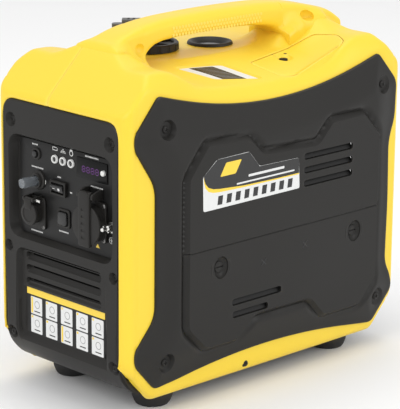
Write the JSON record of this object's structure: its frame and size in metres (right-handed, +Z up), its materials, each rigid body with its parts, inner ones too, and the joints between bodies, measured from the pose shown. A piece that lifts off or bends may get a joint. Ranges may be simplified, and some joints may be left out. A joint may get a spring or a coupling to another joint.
{
  "type": "suitcase_inverter_generator",
  "caption": "Suitcase inverter generator with moulded yellow shells, black side covers, carry handle, front control panel and four rubber feet",
  "frame": {"origin": "middle of the footprint at floor level", "axes": "+Z up, the control panel faces -Y, the service door is on +X and the starter grip on -X"},
  "size_m": [0.259, 0.5192, 0.4585],
  "materials": {
    "yellow_shell": "satin",
    "black_plastic": "satin",
    "dark_plate": "satin",
    "foot_rubber": "matte",
    "grey_plastic": "satin",
    "white_plastic": "gloss",
    "clear_plastic": "gloss",
    "bright_metal": "polished",
    "cast_aluminium": "cast",
    "dark_steel": "brushed",
    "copper_winding": "satin",
    "plug_ceramic": "gloss"
  },
  "bodies": {
    "frame_body": {"left_shell": "yellow_shell", "right_shell": "yellow_shell", "carry_handle": "yellow_shell", "front_panel": "black_plastic", "control_plate": "dark_plate", "intake_grille": "black_plastic", "rear_panel": "black_plastic", "spark_arrestor": "dark_steel", "base_tray": "black_plastic", "right_cover": "black_plastic", "left_cover": "black_plastic", "fuel_gauge": "black_plastic", "gauge_lens": "clear_plastic", "breaker_ring": "black_plastic", "switch_bezel": "black_plastic", "voltmeter": "dark_plate", "ground_stud": "bright_metal", "ac_socket": "black_plastic", "dc_socket": "black_plastic", "crankcase": "cast_aluminium", "cylinder": "cast_aluminium", "spark_plug": "plug_ceramic", "alternator_stator": "copper_winding", "recoil_housing": "dark_steel", "fuel_tank": "black_plastic", "inverter_module": "cast_aluminium", "air_filter_box": "black_plastic", "carburettor": "cast_aluminium", "muffler": "dark_steel", "engine_mount_front": "foot_rubber", "engine_mount_rear": "foot_rubber", "lamp_1": "white_plastic", "lamp_2": "white_plastic", "lamp_3": "white_plastic", "foot_front_left": "foot_rubber", "foot_front_right": "foot_rubber", "foot_rear_left": "foot_rubber", "foot_rear_right": "foot_rubber"},
    "door": {"service_door": "black_plastic"},
    "crank": {"crankshaft": "dark_steel", "alternator_rotor": "dark_steel", "cooling_fan": "grey_plastic"},
    "door_screw_front_turn": {"door_screw_front": "black_plastic"},
    "door_screw_rear_turn": {"door_screw_rear": "black_plastic"},
    "plug_cover_body": {"plug_cover": "yellow_shell"},
    "plug_screw_body": {"plug_cover_screw": "black_plastic"},
    "fuel_cap_body": {"fuel_cap": "black_plastic"},
    "vent_lever_body": {"vent_lever": "grey_plastic"},
    "reset_button_body": {"reset_button": "black_plastic"},
    "breaker_button_body": {"breaker_button": "clear_plastic"},
    "dc_breaker_body": {"dc_breaker_button": "black_plastic"},
    "meter_button_body": {"meter_button": "white_plastic"},
    "economy_switch_body": {"economy_switch": "black_plastic"},
    "socket_lid_body": {"socket_lid": "black_plastic"},
    "dc_cap_body": {"dc_cap": "black_plastic"},
    "ground_nut_body": {"ground_nut": "bright_metal"},
    "pulley_body": {"recoil_pulley": "grey_plastic"},
    "starter_grip_body": {"recoil_grip": "black_plastic"},
    "oil_cap_body": {"oil_cap": "grey_plastic"}
  },
  "joints": [
    {"name": "door_lift_off", "type": "slide", "parent": "frame_body", "child": "door", "axis": [1, 0, 0], "range_m": [0, 0.08]},
    {"name": "door_screw_front_quarter", "type": "hinge", "parent": "door", "child": "door_screw_front_turn", "pos_m": [0.12, -0.096, 0.171], "axis": [1, 0, 0], "range_deg": [0, 90]},
    {"name": "door_screw_rear_quarter", "type": "hinge", "parent": "door", "child": "door_screw_rear_turn", "pos_m": [0.12, 0.142, 0.171], "axis": [1, 0, 0], "range_deg": [0, 90]},
    {"name": "plug_cover_lift_off", "type": "slide", "parent": "frame_body", "child": "plug_cover_body", "axis": [0, 0, 1], "range_m": [0, 0.06]},
    {"name": "plug_cover_screw_turn", "type": "hinge", "parent": "plug_cover_body", "child": "plug_screw_body", "pos_m": [0.06, 0.078, 0.39], "axis": [0, 0, 1], "range_deg": [0, 90]},
    {"name": "fuel_cap_turn", "type": "hinge", "parent": "frame_body", "child": "fuel_cap_body", "pos_m": [-0.053, -0.05, 0.405], "axis": [0, 0, 1], "range_deg": [0, 60]},
    {"name": "vent_lever_turn", "type": "hinge", "parent": "fuel_cap_body", "child": "vent_lever_body", "pos_m": [-0.053, -0.05, 0.431], "axis": [0, 0, 1], "range_deg": [-90, 0]},
    {"name": "reset_press", "type": "slide", "parent": "frame_body", "child": "reset_button_body", "axis": [0, 1, 0], "range_m": [0, 0.002], "stiffness_N_per_m": 150},
    {"name": "breaker_press", "type": "slide", "parent": "frame_body", "child": "breaker_button_body", "axis": [0, 1, 0], "range_m": [0, 0.004], "stiffness_N_per_m": 150},
    {"name": "dc_breaker_press", "type": "slide", "parent": "frame_body", "child": "dc_breaker_body", "axis": [0, 1, 0], "range_m": [0, 0.0025], "stiffness_N_per_m": 150},
    {"name": "meter_press", "type": "slide", "parent": "frame_body", "child": "meter_button_body", "axis": [0, 1, 0], "range_m": [0, 0.0015], "stiffness_N_per_m": 150},
    {"name": "economy_rock", "type": "hinge", "parent": "frame_body", "child": "economy_switch_body", "pos_m": [-0.0086, -0.2316, 0.2665], "axis": [-1, 0, 0], "range_deg": [0, 18]},
    {"name": "socket_lid_lift", "type": "hinge", "parent": "frame_body", "child": "socket_lid_body", "pos_m": [0.0564, -0.2471, 0.274], "axis": [-1, 0, 0], "range_deg": [0, 95], "stiffness_Nm_per_rad": 0.02, "springref_deg": -22.92},
    {"name": "dc_cap_lift", "type": "hinge", "parent": "frame_body", "child": "dc_cap_body", "pos_m": [-0.05, -0.2446, 0.247], "axis": [-1, 0, 0], "range_deg": [0, 110]},
    {"name": "ground_nut_turn", "type": "hinge", "parent": "frame_body", "child": "ground_nut_body", "pos_m": [0.0845, -0.2316, 0.2375], "axis": [0, 1, 0], "continuous": true},
    {"name": "crank_spin", "type": "hinge", "parent": "frame_body", "child": "crank", "pos_m": [0, 0.02, 0.132], "axis": [1, 0, 0], "continuous": true},
    {"name": "pulley_spin", "type": "hinge", "parent": "frame_body", "child": "pulley_body", "pos_m": [-0.099, 0.02, 0.132], "axis": [1, 0, 0], "range_deg": [0, 600]},
    {"name": "starter_pull", "type": "slide", "parent": "frame_body", "child": "starter_grip_body", "axis": [-1, 0, 0], "range_m": [0, 0.38]},
    {"name": "oil_cap_turn", "type": "hinge", "parent": "frame_body", "child": "oil_cap_body", "pos_m": [0.063, 0.066, 0.084], "axis": [1, 0, 0], "range_deg": [0, 360]}
  ],
  "couplings": [
    {"joint": "starter_pull", "follows": "pulley_spin", "m_per_rad": 0.036}
  ]
}
